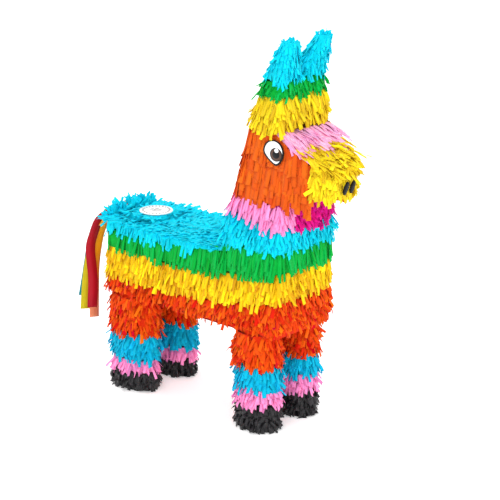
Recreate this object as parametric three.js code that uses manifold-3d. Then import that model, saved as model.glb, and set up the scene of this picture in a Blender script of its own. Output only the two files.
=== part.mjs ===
// Donkey pinata: a hollow corrugated-card donkey covered in rows of fringed crepe paper.
//
// Two card profiles and a ring of card strips make one box that runs from the rump to the nose
// and up to the crown. Four card tubes stand under it as legs and two card cones stand on it as
// ears. Crepe fringe in bands of colour covers all of it. A card flap in the back opens on its
// crease so that sweets can be poured in, and five crepe ribbons hang from the rump as a tail.
//
// Millimetres, +Z up. The donkey faces -Y and its left side is +X. The origin lies on the floor,
// below the middle of the overall box.

import * as THREE from "three";
import { ConvexGeometry } from "three/addons/geometries/ConvexGeometry.js";
import { mergeVertices } from "three/addons/utils/BufferGeometryUtils.js";
import Module from "manifold-3d";

// ---------- driving dimensions ----------

// Heights, one on top of another from the floor up.
const BELLY_CLEARANCE = 143;
const TORSO_HEIGHT = 113;
const NECK_HEIGHT = 92;
const NOSE_HEIGHT = 40;
const BROW_RISE = 48;
const CROWN_HEIGHT = 64;
const EAR_HEIGHT = 56;

// Lengths along the donkey.
const TORSO_LENGTH = 338;
const NOSE_REACH = 71; // nose in front of the chest
const THROAT_LEAN = 9; // throat in front of the chest, at the jaw
const NECK_DEPTH = 102; // back of the neck to the chest, where the neck leaves the back
const NAPE_LEAN = 46; // how far the nape leans forward up to the brow
const CROWN_LEAN = 20; // the same for the back of the crown, up to the ears
const CROWN_DEPTH = 33; // front to back under the ears
const RUMP_CORNER = 20; // radius of the rump's upright corners

// Widths across the donkey.
const STANCE_WIDTH = 130; // across both legs of a pair
const TORSO_WIDTH = 118;
const JAW_WIDTH = 112;
const BROW_WIDTH = 102;
const CROWN_WIDTH = 92;
const CHEEK_WIDTH = 82; // where the cheeks meet the muzzle
const NOSE_WIDTH = 36;
const CHEEK_LENGTH = 18; // cheek to nose, along the donkey
const TEMPLE_LENGTH = 57; // temple to nose, along the donkey

// Materials.
const BOARD = 3; // corrugated card
const TUBE_WALL = 2; // rolled card of the legs and ears
const FRINGE = 8; // depth that the fringe takes up
const PAPER = 0.8; // printed card of the eyes and nostrils, and the ribbons
const STICKER = 0.5;
const GAP = 0.3; // between pieces that are glued face to face

// Colour bands. Those of the torso run level from the rump to mid length and rise from there to the
// chest. The collar's lower edge falls from the nape to the throat.
const BAND_RISE = 25;
const SADDLE_DEPTH = 16; // of each torso band at the rump, from the back down
const GREEN_DEPTH = 29;
const YELLOW_DEPTH = 43;
const COLLAR_UNDER_JAW = 48; // lower edge at the throat
const COLLAR_FALL = 16;
const HEAD_UNDER_JAW = 15;
const CROWN_UNDER_BROW = 4;
const CROWN_GREEN_DEPTH = 23;

// Legs: an oval tube each, with its colour bands' upper edges from the hoof up.
const LEG_WIDTH = 50;
const LEGS = [
  { at: "front", length: 70, inset: 13, bands: [40, 63, 97] },
  { at: "rear", length: 80, inset: 8, bands: [29, 49, 88] },
];

// Filling flap in the back.
const FLAP_LENGTH = 64;
const FLAP_WIDTH = 66;
const FLAP_SETBACK = 16; // crease to rump
const FLAP_CLEARANCE = 1;
const FLAP_PROUD = 5; // the flap's fringe above the back's
const FLAP_RELIEF = Math.tan(THREE.MathUtils.degToRad(47)); // slope of the fringe beside the crease
const STICKER_WIDTH = 49;

// Ears, one each side of a notch.
const EAR_NOTCH = 6; // between the ears at their foot
const EAR_TIP_INNER = 23; // middle plane to the tip's inner and outer side
const EAR_TIP_OUTER = 45;
const EAR_TIP_DEPTH = 18;
const EAR_TIP_LEAN = 16; // how far the tip's front stands in front of its foot

// Eyes and nostrils.
const EYE_HEIGHT = 34;
const EYE_WIDTH = 36;
const EYE_BEHIND_NOSE = 78;
const EYE_UNDER_BROW = 29;
const NOSTRIL_HEIGHT = 19;
const NOSTRIL_WIDTH = 8;
const NOSTRIL_SPACING = 14;
const NOSTRIL_SPLAY = 8; // degrees

// Tail ribbons, from the donkey's right to its left.
const TAIL_REACH = 46;
const RIBBON_WIDTH = 15;
const RIBBON_PITCH = 17;
const RIBBON_ROOT = 1.4; // root's middle line behind the rump fringe
const TAIL_DROP = 3; // roots below the back
const RIBBONS = [
  { name: "gold", reach: 0.55, length: 140 },
  { name: "red", reach: 0.9, length: 166 },
  { name: "yellow", reach: 1, length: 174 },
  { name: "peach", reach: 0.95, length: 194 },
  { name: "teal", reach: 1, length: 164 },
];

// ---------- levels and stations that follow from them ----------

const belly = BELLY_CLEARANCE;
const back = belly + TORSO_HEIGHT;
const jaw = back + NECK_HEIGHT;
const noseTop = jaw + NOSE_HEIGHT;
const brow = noseTop + BROW_RISE;
const crown = brow + CROWN_HEIGHT;
const earTip = crown + GAP + EAR_HEIGHT;

const nose = -(TAIL_REACH + TORSO_LENGTH + NOSE_REACH) / 2;
const chest = nose + NOSE_REACH;
const rump = chest + TORSO_LENGTH;
const throat = chest - THROAT_LEAN;
const neckBack = chest + NECK_DEPTH;
const napeTop = neckBack - NAPE_LEAN;
const crownBack = napeTop - CROWN_LEAN;
const crownFront = crownBack - CROWN_DEPTH;
const muzzleStart = nose + CHEEK_LENGTH + 2;
const board = FRINGE + GAP; // depth of the box's outer face below the fringe's

// Lower edges of the colour bands.
const saddleEdge = back - SADDLE_DEPTH;
const greenEdge = saddleEdge - GREEN_DEPTH;
const yellowEdge = greenEdge - YELLOW_DEPTH;
const collarEdge = jaw - COLLAR_UNDER_JAW;
const headEdge = jaw - HEAD_UNDER_JAW;
const crownYellowEdge = brow - CROWN_UNDER_BROW;
const crownGreenEdge = crown - CROWN_GREEN_DEPTH;

// ---------- shapes ----------

const wasm = await Module();
wasm.setup();

const v2 = (x, y) => new THREE.Vector2(x, y);
// The box seen from its side, as (y, z), counter-clockwise. SIDES names each edge by its strip.
const profile = [
  v2(chest, belly),
  v2(rump, belly),
  v2(rump, back),
  v2(neckBack, back),
  v2(napeTop, brow),
  v2(crownBack, crown),
  v2(crownFront, crown),
  v2(crownFront, brow),
  v2(nose, noseTop),
  v2(nose, jaw),
  v2(throat, jaw),
];
const SIDES = ["belly", "rump", "back", "nape", "crown_back", "crown_cap", "forehead", "brow", "nose", "jaw", "chest"];

// The box seen from above, as (x, y), counter-clockwise: round corners at the rump, straight sides
// and a taper to the nose. The flat rump itself is cut by the profile, so the outline runs past it.
const BEYOND = 60; // how far an outline runs past the ends that another outline sets
const planHalf = [
  v2(0, rump + 0.4 * RUMP_CORNER),
  ...new THREE.EllipseCurve(
    TORSO_WIDTH / 2 - RUMP_CORNER,
    rump - RUMP_CORNER,
    RUMP_CORNER,
    RUMP_CORNER,
    0,
    (3 / 8) * Math.PI,
  ).getPoints(3).reverse(),
  v2(TORSO_WIDTH / 2, chest + FRINGE),
  v2(JAW_WIDTH / 2 - 1, nose + TEMPLE_LENGTH),
  v2(CHEEK_WIDTH / 2, nose + CHEEK_LENGTH),
  v2(NOSE_WIDTH / 2, nose),
];
const mirrored = (half) => half.map((p) => v2(-p.x, p.y));
const plan = [...mirrored(planHalf), ...planHalf.slice(1).reverse()];

// The box seen from the front, as (z, x), counter-clockwise: the head is narrower than the torso.
const frontHalf = [
  v2(belly - BEYOND, TORSO_WIDTH / 2),
  v2(back + NECK_HEIGHT / 2, TORSO_WIDTH / 2),
  v2(jaw, JAW_WIDTH / 2),
  v2(brow, BROW_WIDTH / 2),
  v2(crown, CROWN_WIDTH / 2),
  v2(crown + BEYOND, CROWN_WIDTH / 2),
];
const front = [...frontHalf.map((p) => v2(p.x, -p.y)), ...frontHalf.slice().reverse()];

// Moves every side of a counter-clockwise outline inwards by d and joins them again at the corners.
function inset(outline, d) {
  return outline.map((corner, i) => {
    const along = corner.clone().sub(outline.at(i - 1)).normalize();
    const onward = outline[(i + 1) % outline.length].clone().sub(corner).normalize();
    const normal = v2(-along.y, along.x);
    const middle = v2(-onward.y, onward.x).add(normal).normalize();
    return corner.clone().addScaledVector(middle, d / middle.dot(normal));
  });
}

// A geometry as a manifold-3d solid, and a solid as a geometry.
function solid(geometry) {
  const bare = new THREE.BufferGeometry();
  bare.setAttribute("position", (geometry.index ? geometry.toNonIndexed() : geometry).getAttribute("position"));
  const merged = mergeVertices(bare, 1e-3);
  return new wasm.Manifold(
    new wasm.Mesh({
      numProp: 3,
      vertProperties: merged.attributes.position.array,
      triVerts: new Uint32Array(merged.index.array),
    }),
  );
}

function geometryOf(made) {
  const mesh = made.getMesh();
  const geometry = new THREE.BufferGeometry();
  geometry.setAttribute("position", new THREE.BufferAttribute(mesh.vertProperties, 3));
  geometry.setIndex(new THREE.BufferAttribute(mesh.triVerts, 1));
  const flat = geometry.toNonIndexed();
  flat.computeVertexNormals();
  return flat;
}

// Prisms: an outline pushed along X from (y, z), along Y from (z, x) or along Z from (x, y).
const AXES = {
  x: [[0, 1, 0], [0, 0, 1], [1, 0, 0]],
  y: [[0, 0, 1], [1, 0, 0], [0, 1, 0]],
  z: [[1, 0, 0], [0, 1, 0], [0, 0, 1]],
};

function prismGeometry(axis, outline, from, to) {
  const geometry = new THREE.ExtrudeGeometry(new THREE.Shape(outline), { depth: to - from, bevelEnabled: false });
  geometry.translate(0, 0, from);
  const [u, v, w] = AXES[axis].map((a) => new THREE.Vector3(...a));
  return geometry.applyMatrix4(new THREE.Matrix4().makeBasis(u, v, w));
}

const prism = (axis, outline, from, to) => solid(prismGeometry(axis, outline, from, to));
const rectangle = (a0, b0, a1, b1) => [v2(a0, b0), v2(a1, b0), v2(a1, b1), v2(a0, b1)];
const block = (x0, y0, z0, x1, y1, z1) => prism("z", rectangle(x0, y0, x1, y1), z0, z1);

const FAR = 1000; // past every face of the donkey

// What the plan and front outlines leave at a depth below the fringe's surface.
function envelope(depth) {
  const fromAbove = prism("z", inset(plan, depth), -FAR, FAR);
  return fromAbove.intersect(prism("y", inset(front, depth), -FAR, FAR));
}

// The whole box at a depth below the fringe's surface.
const box = (depth) => prism("x", inset(profile, depth), -FAR, FAR).intersect(envelope(depth));

// ---------- materials ----------

const matt = (color, roughness) => new THREE.MeshStandardMaterial({ color, roughness, metalness: 0 });
const card = matt("#b08a5c", 0.9);
const turquoise = matt("#13bfe4", 0.85);
const blue = matt("#1aa9dc", 0.85);
const green = matt("#07a84b", 0.85);
const yellow = matt("#f6cf1b", 0.85);
const orange = matt("#f2601a", 0.85);
const pink = matt("#f27fc6", 0.85);
const magenta = matt("#e2189a", 0.85);
const black = matt("#1b1a1c", 0.85);
const red = matt("#c40d24", 0.7);
const teal = matt("#127f90", 0.7);
const ribbonYellow = matt("#d8c20f", 0.7);
const peach = matt("#f08b5c", 0.7);
const gold = matt("#f0a41c", 0.7);
const whitePaper = matt("#f4f2ee", 0.45);
const eyePrint = matt("#f3f3f3", 0.4);
const blackPrint = matt("#0d0c0c", 0.5);

const pinata = new THREE.Group();

function add(name, shape, material) {
  const mesh = new THREE.Mesh(shape.isBufferGeometry ? shape : geometryOf(shape), material);
  mesh.name = name;
  pinata.add(mesh);
  return mesh;
}

// ---------- card box ----------

// A strip is the stretch of the box's wall along one or more neighbouring sides of the profile.
const outerWall = inset(profile, board);
const innerWall = inset(profile, board + BOARD);
const boxEnvelope = envelope(board);

function strip(first, last = first) {
  const start = SIDES.indexOf(first);
  const stop = SIDES.indexOf(last) + 1;
  const corners = [];
  for (let i = start; i <= stop; i++) corners.push(i % profile.length);
  const outer = corners.map((i) => outerWall[i].clone());
  const inner = corners.map((i) => innerWall[i].clone());
  // Each end stands back half a gap from the corner that it shares with the next strip.
  for (const [end, next] of [[0, 1], [corners.length - 1, corners.length - 2]]) {
    const inwards = outer[next].clone().sub(outer[end]).normalize().multiplyScalar(GAP / 2);
    outer[end].add(inwards);
    inner[end].add(inwards);
  }
  return prism("x", [...outer, ...inner.reverse()], -FAR, FAR).intersect(boxEnvelope);
}

const hinge = rump - FLAP_SETBACK;
const boardTop = back - board;
const fillHole = block(
  -FLAP_WIDTH / 2 - FLAP_CLEARANCE,
  hinge - FLAP_LENGTH - FLAP_CLEARANCE,
  boardTop - 2 * BOARD,
  FLAP_WIDTH / 2 + FLAP_CLEARANCE,
  hinge + GAP,
  back + BOARD,
);

add("belly_panel", strip("belly"), card);
add("rump_panel", strip("rump"), card);
add("back_panel", strip("back").subtract(fillHole), card);
add("nape_panel", strip("nape", "crown_back"), card);
add("crown_cap_panel", strip("crown_cap"), card);
add("forehead_panel", strip("forehead"), card);
add("brow_panel", strip("brow"), card);
add("nose_panel", strip("nose"), card);
add("jaw_panel", strip("jaw"), card);
add("chest_panel", strip("chest"), card);

// The two profiles close the ring of strips, bent in along the cheeks to meet the nose.
const sideWalls = prism("x", inset(profile, board + BOARD + GAP), -FAR, FAR)
  .intersect(boxEnvelope)
  .subtract(envelope(board + BOARD));
add("side_panel_right", sideWalls.intersect(block(-FAR, -FAR, -FAR, 0, FAR, FAR)), card);
add("side_panel_left", sideWalls.intersect(block(0, -FAR, -FAR, FAR, FAR, FAR)), card);

// ---------- legs ----------

const OVAL_STEPS = 28;

function oval(x, y, halfWidth, halfLength) {
  return new THREE.EllipseCurve(x, y, halfWidth, halfLength).getPoints(OVAL_STEPS).slice(0, -1);
}

const legStations = LEGS.flatMap((leg) =>
  ["right", "left"].map((side) => ({
    ...leg,
    name: leg.at + "_" + side,
    x: (side === "left" ? 1 : -1) * (STANCE_WIDTH - LEG_WIDTH) / 2,
    y: leg.at === "front" ? chest + leg.inset + leg.length / 2 : rump - leg.inset - leg.length / 2,
  })),
);

// A leg's oval at a depth below its fringe's surface, and a sleeve of fringe round its tube.
const legOval = (leg, depth) => oval(leg.x, leg.y, LEG_WIDTH / 2 - depth, leg.length / 2 - depth);
const legColumn = (leg, depth, from, to) => prism("z", legOval(leg, depth), from, to);
const legSleeve = (leg, from, to) =>
  legColumn(leg, 0, from, to).subtract(legColumn(leg, FRINGE, from - 1, to + 1));

for (const leg of legStations) {
  const [hoofTop, ankleTop, shinTop] = leg.bands;
  const tubeDepth = FRINGE + GAP;
  const tubeTop = belly + board - GAP;
  const tube = legColumn(leg, tubeDepth, BOARD + GAP, tubeTop);
  add("leg_tube_" + leg.name, tube.subtract(legColumn(leg, tubeDepth + TUBE_WALL, 0, tubeTop + 1)), card);
  add("sole_disc_" + leg.name, prismGeometry("z", legOval(leg, tubeDepth), 0, BOARD), card);
  add("hoof_fringe_" + leg.name, legSleeve(leg, 0, hoofTop), black);
  add("ankle_fringe_" + leg.name, legSleeve(leg, hoofTop + GAP, ankleTop), pink);
  add("shin_fringe_" + leg.name, legSleeve(leg, ankleTop + GAP, shinTop), blue);
}

// ---------- fringe on the torso ----------

// The fringe is the layer round the box, cut into bands and into pieces by prisms.
const fringe = box(0).subtract(box(FRINGE));
const middle = (chest + rump) / 2;

function above(edge) {
  const line = [v2(-FAR, edge + BAND_RISE), v2(chest, edge + BAND_RISE), v2(middle, edge), v2(FAR, edge)];
  return prism("x", [...line, v2(FAR, FAR), v2(-FAR, FAR)], -FAR, FAR);
}

function overCollar(lift) {
  const low = collarEdge + lift;
  const high = low + COLLAR_FALL;
  const line = [v2(-FAR, low), v2(chest, low), v2(neckBack, high), v2(FAR, high)];
  return prism("x", [...line, v2(FAR, FAR), v2(-FAR, FAR)], -FAR, FAR);
}

const band = (low, high) => fringe.intersect(above(low)).subtract(above(high - GAP));
const behind = (y) => block(-FAR, y, -FAR, FAR, FAR, FAR);
const over = (z) => block(-FAR, -FAR, z, FAR, FAR, FAR);
const level = (low, high) => fringe.intersect(over(low)).subtract(over(high - GAP));

// The orange band goes on round the thighs as one covering, with a hole for each leg tube.
const thighTops = legStations.map((leg) => legSleeve(leg, leg.bands[2] + GAP, belly + GAP));
const bellyHoles = legStations.map((leg) => legColumn(leg, FRINGE, 0, belly + board));
let bodyOrange = fringe.subtract(above(yellowEdge - GAP));
for (const thigh of thighTops) bodyOrange = bodyOrange.add(thigh);
const clearOfLegs = (covering) => bellyHoles.reduce((left, hole) => left.subtract(hole), covering);
add("body_fringe_orange", clearOfLegs(bodyOrange), orange);
add("body_fringe_yellow", clearOfLegs(band(yellowEdge, greenEdge)), yellow);
add("body_fringe_green", band(greenEdge, saddleEdge), green);

const neckFoot = neckBack + FRINGE;
const flapWell = prism(
  "x",
  [
    v2(hinge - FLAP_LENGTH - FLAP_CLEARANCE, back - 2 * FRINGE),
    v2(hinge + GAP, back - 2 * FRINGE),
    v2(hinge + GAP, boardTop),
    v2(hinge + GAP + FLAP_RELIEF * board, back),
    v2(hinge + GAP + FLAP_RELIEF * board, back + BOARD),
    v2(hinge - FLAP_LENGTH - FLAP_CLEARANCE, back + BOARD),
  ],
  -FLAP_WIDTH / 2 - FLAP_CLEARANCE,
  FLAP_WIDTH / 2 + FLAP_CLEARANCE,
);
const upperTorso = fringe.intersect(above(saddleEdge)).subtract(overCollar(-GAP));
add("saddle_fringe_turquoise", upperTorso.intersect(behind(neckFoot + GAP)).subtract(flapWell), turquoise);
add("neck_fringe_turquoise", upperTorso.subtract(behind(neckFoot)), turquoise);

// ---------- filling flap ----------

const flapFront = hinge - FLAP_LENGTH;
const flapTop = back + FLAP_PROUD;
const flapTopBack = hinge - GAP - FLAP_RELIEF * (flapTop - boardTop);
const stickerMiddle = (flapFront + flapTopBack) / 2;
add(
  "fill_flap",
  prismGeometry("z", rectangle(-FLAP_WIDTH / 2, flapFront, FLAP_WIDTH / 2, hinge - GAP), boardTop - BOARD, boardTop),
  card,
);
add(
  "flap_fringe_turquoise",
  prismGeometry(
    "x",
    [
      v2(flapFront, boardTop + GAP),
      v2(hinge - GAP - FLAP_RELIEF * GAP, boardTop + GAP),
      v2(flapTopBack, flapTop),
      v2(flapFront, flapTop),
    ],
    -FLAP_WIDTH / 2,
    FLAP_WIDTH / 2,
  ),
  turquoise,
);
const sticker = oval(0, stickerMiddle, STICKER_WIDTH / 2, STICKER_WIDTH / 2);
add("fill_sticker", prismGeometry("z", sticker, flapTop + GAP, flapTop + GAP + STICKER), whitePaper);

// ---------- fringe on the neck and head ----------

const throatFront = block(-FAR, -FAR, back, FAR, chest + FRINGE + GAP, jaw - GAP);
const collar = fringe.intersect(overCollar(0)).subtract(over(headEdge - GAP)).subtract(throatFront);
add("collar_fringe_pink", collar, pink);
const throatDepth = block(-FAR, throat - 2, back, FAR, chest + FRINGE, jaw - GAP);
add("throat_fringe_magenta", fringe.intersect(throatDepth).intersect(overCollar(0)), magenta);

const browOuter = SIDES.indexOf("brow");
const browInner = inset(profile, FRINGE);
const browSlab = prism(
  "x",
  [profile[browOuter].clone(), profile[browOuter + 1].clone(), browInner[browOuter + 1], browInner[browOuter]],
  -FAR,
  FAR,
);
const browFront = block(-FAR, muzzleStart, -FAR, FAR, crownFront + FAR, FAR);
const headLayer = fringe.intersect(over(headEdge)).subtract(over(crownYellowEdge - GAP)).subtract(throatFront);
const browPiece = fringe.intersect(browSlab).intersect(browFront).subtract(over(brow - GAP));
add("brow_fringe_pink", browPiece, pink);

// The brow's piece, grown by the glue gap at its back and underside, is left out of its neighbours.
const browKeepOut = browSlab.intersect(browFront);
const browClear = browKeepOut.add(browKeepOut.translate([0, GAP, -GAP])).add(browKeepOut.translate([0, 0, 2 * GAP]));
add("head_fringe_orange", headLayer.intersect(behind(muzzleStart + GAP)).subtract(browClear), orange);
const muzzle = fringe.intersect(over(jaw - GAP)).subtract(over(brow)).subtract(behind(muzzleStart - GAP));
add("muzzle_fringe_yellow", muzzle, yellow);

const crownPart = (low, high) => level(low, high).intersect(behind(crownFront - 1)).subtract(browClear);
add("crown_fringe_yellow", crownPart(crownYellowEdge, crownGreenEdge), yellow);
add("crown_fringe_green", crownPart(crownGreenEdge, crown + FRINGE), green);

// ---------- ears ----------

// An ear is the hull of its foot on the crown and its smaller tip, at a depth below its fringe.
// A hollow starts a little below the foot, so that it opens there.
function ear(side, depth, footDrop) {
  const tipFront = crownFront - EAR_TIP_LEAN;
  const edges = [
    [v2(EAR_NOTCH / 2 + depth, crownFront + depth), v2(EAR_TIP_INNER + depth, tipFront + depth)],
    [v2(CROWN_WIDTH / 2 - depth, crownFront + depth), v2(EAR_TIP_OUTER - depth, tipFront + depth)],
    [v2(EAR_NOTCH / 2 + depth, crownBack - depth), v2(EAR_TIP_INNER + depth, tipFront + EAR_TIP_DEPTH - depth)],
    [v2(CROWN_WIDTH / 2 - depth, crownBack - depth), v2(EAR_TIP_OUTER - depth, tipFront + EAR_TIP_DEPTH - depth)],
  ];
  const levels = [-footDrop / EAR_HEIGHT, 1 - depth / EAR_HEIGHT];
  const corners = edges.flatMap(([foot, tip]) =>
    levels.map((share) => {
      const at = foot.clone().lerp(tip, share);
      return new THREE.Vector3(side * at.x, at.y, crown + GAP + EAR_HEIGHT * share);
    }),
  );
  return new ConvexGeometry(corners);
}

const EAR_FRINGE = 6; // the fringe lies thinner on the ears
for (const [name, side] of [["right", -1], ["left", 1]]) {
  const cone = solid(ear(side, EAR_FRINGE + GAP, 0));
  const hollow = solid(ear(side, EAR_FRINGE + GAP + TUBE_WALL, 1));
  add("ear_cone_" + name, cone.subtract(hollow), card);
  add("ear_fringe_" + name, solid(ear(side, 0, 0)).subtract(solid(ear(side, EAR_FRINGE, 1))), turquoise);
}

// ---------- eyes and nostrils ----------

// Printed card cut to a drop: a wide round top that narrows towards the cheek below and in front.
function eyeOutline() {
  const [w, h] = [EYE_WIDTH / 2, EYE_HEIGHT / 2];
  const shape = new THREE.Shape();
  shape.moveTo(-w, h * 0.25);
  shape.bezierCurveTo(-w, h * 0.8, -w * 0.55, h, 0, h);
  shape.bezierCurveTo(w * 0.6, h, w, h * 0.55, w, 0);
  shape.bezierCurveTo(w, -h * 0.6, w * 0.75, -h, w * 0.35, -h);
  shape.bezierCurveTo(-w * 0.05, -h, -w * 0.2, -h * 0.55, -w * 0.6, -h * 0.35);
  shape.bezierCurveTo(-w * 0.85, -h * 0.2, -w, -h * 0.1, -w, h * 0.25);
  return shape;
}

// The side of the head leans in from the jaw to the brow.
const cheekLean = Math.atan2((JAW_WIDTH - BROW_WIDTH) / 2, brow - jaw);
const eyeZ = brow - EYE_UNDER_BROW;
const eyeX = JAW_WIDTH / 2 - (eyeZ - jaw) * Math.tan(cheekLean);
for (const [name, side] of [["right", -1], ["left", 1]]) {
  const geometry = new THREE.ExtrudeGeometry(eyeOutline(), { depth: PAPER, bevelEnabled: false, curveSegments: 6 });
  if (side > 0) geometry.rotateY(Math.PI).translate(0, 0, PAPER);
  const eye = add("eye_" + name, geometry, eyePrint);
  // The outline's own axes: +X towards the nose, +Y up, +Z out of the head's right side.
  const standing = new THREE.Matrix4().makeBasis(
    new THREE.Vector3(0, -1, 0),
    new THREE.Vector3(0, 0, 1),
    new THREE.Vector3(-1, 0, 0),
  );
  eye.quaternion.setFromRotationMatrix(standing);
  eye.quaternion.premultiply(new THREE.Quaternion().setFromAxisAngle(new THREE.Vector3(0, 1, 0), -side * cheekLean));
  const clear = GAP + (side > 0 ? PAPER : 0);
  eye.position.set(
    side * (eyeX + clear * Math.cos(cheekLean)),
    nose + EYE_BEHIND_NOSE,
    eyeZ + clear * Math.sin(cheekLean),
  );
}

for (const [name, side] of [["right", -1], ["left", 1]]) {
  const splay = THREE.MathUtils.degToRad(NOSTRIL_SPLAY) * side;
  const outline = oval(0, 0, NOSTRIL_HEIGHT / 2, NOSTRIL_WIDTH / 2);
  const turned = outline.map((p) => p.rotateAround(v2(0, 0), splay));
  const placed = turned.map((p) => v2(p.x + (jaw + noseTop) / 2 - 3, p.y + side * NOSTRIL_SPACING / 2));
  add("nostril_" + name, prismGeometry("y", placed, nose - GAP - PAPER, nose - GAP), blackPrint);
}

// ---------- tail ----------

// A ribbon leaves the rump level, arches over and hangs: its middle line as (y, z).
const ribbonRoot = v2(rump + RIBBON_ROOT, back - TAIL_DROP);
const RIBBON_STEPS = 14;

function ribbonLine(reach, length) {
  const out = reach * (TAIL_REACH - RIBBON_ROOT) - PAPER;
  const y = (share) => ribbonRoot.x + out * share;
  const z = (share) => ribbonRoot.y - length * share;
  return new THREE.SplineCurve([
    ribbonRoot,
    v2(y(0.42), z(0.035)),
    v2(y(0.78), z(0.17)),
    v2(y(0.97), z(0.4)),
    v2(y(0.98), z(0.66)),
    v2(y(0.9), z(0.9)),
  ]);
}

const ribbonMaterials = { red, yellow: ribbonYellow, peach, teal, gold };
RIBBONS.forEach(({ name, reach, length }, i) => {
  const line = ribbonLine(reach, length);
  const left = [];
  const right = [];
  for (let step = 0; step <= RIBBON_STEPS; step++) {
    const at = line.getPoint(step / RIBBON_STEPS);
    const along = line.getTangent(step / RIBBON_STEPS);
    const across = v2(-along.y, along.x).multiplyScalar(PAPER / 2);
    left.push(at.clone().add(across));
    right.push(at.clone().sub(across));
  }
  const x = (i - (RIBBONS.length - 1) / 2) * RIBBON_PITCH;
  const outline = [...left, ...right.reverse()];
  const ribbon = prismGeometry("x", outline, x - RIBBON_WIDTH / 2, x + RIBBON_WIDTH / 2);
  add("tail_ribbon_" + name, ribbon, ribbonMaterials[name]);
});

export default pinata;
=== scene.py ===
# Donkey pinata: a folded card box on four card tubes, covered in rows of cut crepe paper, with
# printed eyes and nostrils, a filling flap under a round sticker and a tail of paper streamers.
# Lengths are in millimetres unless a name says otherwise, and meshes are written in metres.

import math

import bmesh
import bpy
import numpy as np
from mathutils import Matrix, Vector
from mathutils.bvhtree import BVHTree


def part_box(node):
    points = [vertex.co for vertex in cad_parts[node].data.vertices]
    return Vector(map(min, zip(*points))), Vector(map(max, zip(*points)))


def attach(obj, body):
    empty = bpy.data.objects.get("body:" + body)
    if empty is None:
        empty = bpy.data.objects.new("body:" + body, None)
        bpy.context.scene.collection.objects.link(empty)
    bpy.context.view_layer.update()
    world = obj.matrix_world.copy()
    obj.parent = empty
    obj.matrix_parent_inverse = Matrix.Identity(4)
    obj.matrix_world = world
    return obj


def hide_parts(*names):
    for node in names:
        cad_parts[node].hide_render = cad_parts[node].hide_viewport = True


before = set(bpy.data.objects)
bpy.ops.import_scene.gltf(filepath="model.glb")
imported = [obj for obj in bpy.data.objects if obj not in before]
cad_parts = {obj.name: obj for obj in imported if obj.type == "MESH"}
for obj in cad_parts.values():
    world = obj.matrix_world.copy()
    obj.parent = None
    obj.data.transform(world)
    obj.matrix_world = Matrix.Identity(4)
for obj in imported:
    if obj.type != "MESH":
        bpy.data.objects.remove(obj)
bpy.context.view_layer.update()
scene = bpy.context.scene
MM = 0.001

# ---------- camera ----------
# A long lens looks at the donkey from in front of its right shoulder, from a little above its back.

AZIMUTH, ELEVATION = math.radians(-48.1), math.radians(17.3)
DISTANCE_M, LENS = 2.799, 141.5
AIM_M = Vector((0.0287, -0.0319, 0.2276))

towards_camera = Vector(
    (
        math.sin(AZIMUTH) * math.cos(ELEVATION),
        -math.cos(AZIMUTH) * math.cos(ELEVATION),
        math.sin(ELEVATION),
    )
)
camera = bpy.data.objects.new("camera", bpy.data.cameras.new("camera"))
camera.data.lens = LENS
camera.data.sensor_width = 36
camera.data.clip_start, camera.data.clip_end = 0.1, 30
camera.location = AIM_M + towards_camera * DISTANCE_M
camera.rotation_mode = "QUATERNION"
camera.rotation_quaternion = (-towards_camera).to_track_quat("-Z", "Y")
scene.collection.objects.link(camera)
scene.camera = camera
scene.view_settings.view_transform = "Standard"

# ---------- card box, leg tubes and soles ----------
# Brown corrugated card, cut and folded, and rolled grey-brown card tubes. The frame's own nodes
# show here: fluting as faint lines 7 mm apart, paper fibre as a fine mottle, matt all over.

FLUTE_SPACING = 7
WAVES_PER_UNIT = 0.314  # scale of a wave texture whose bands are one unit apart


def linear(code):
    """A colour written as #rrggbb in sRGB, as linear red, green, blue and alpha."""
    parts = [int(code[i : i + 2], 16) / 255 for i in (1, 3, 5)]
    return [*(c / 12.92 if c < 0.04045 else ((c + 0.055) / 1.055) ** 2.4 for c in parts), 1]


def new_material(name, roughness, **more):
    """A material and its Principled shader, with constants set on the shader's own sockets."""
    material = bpy.data.materials.new(name)
    material.use_nodes = True
    shader = material.node_tree.nodes["Principled BSDF"]
    shader.inputs["Roughness"].default_value = roughness
    for key, value in more.items():
        shader.inputs[key.replace("_", " ")].default_value = value
    return material, shader


def add_node(material, kind, inputs=(), **settings):
    """Adds a node: settings go on the node, inputs are values or the sockets that feed it."""
    made = material.node_tree.nodes.new("ShaderNode" + kind)
    for key, value in settings.items():
        setattr(made, key, value)
    for key, value in dict(inputs).items():
        if isinstance(value, bpy.types.NodeSocket):
            material.node_tree.links.new(value, made.inputs[key])
        else:
            made.inputs[key].default_value = value
    return made


def connect(material, shader, **outputs):
    for key, socket in outputs.items():
        material.node_tree.links.new(socket, shader.inputs[key.replace("_", " ")])


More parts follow.
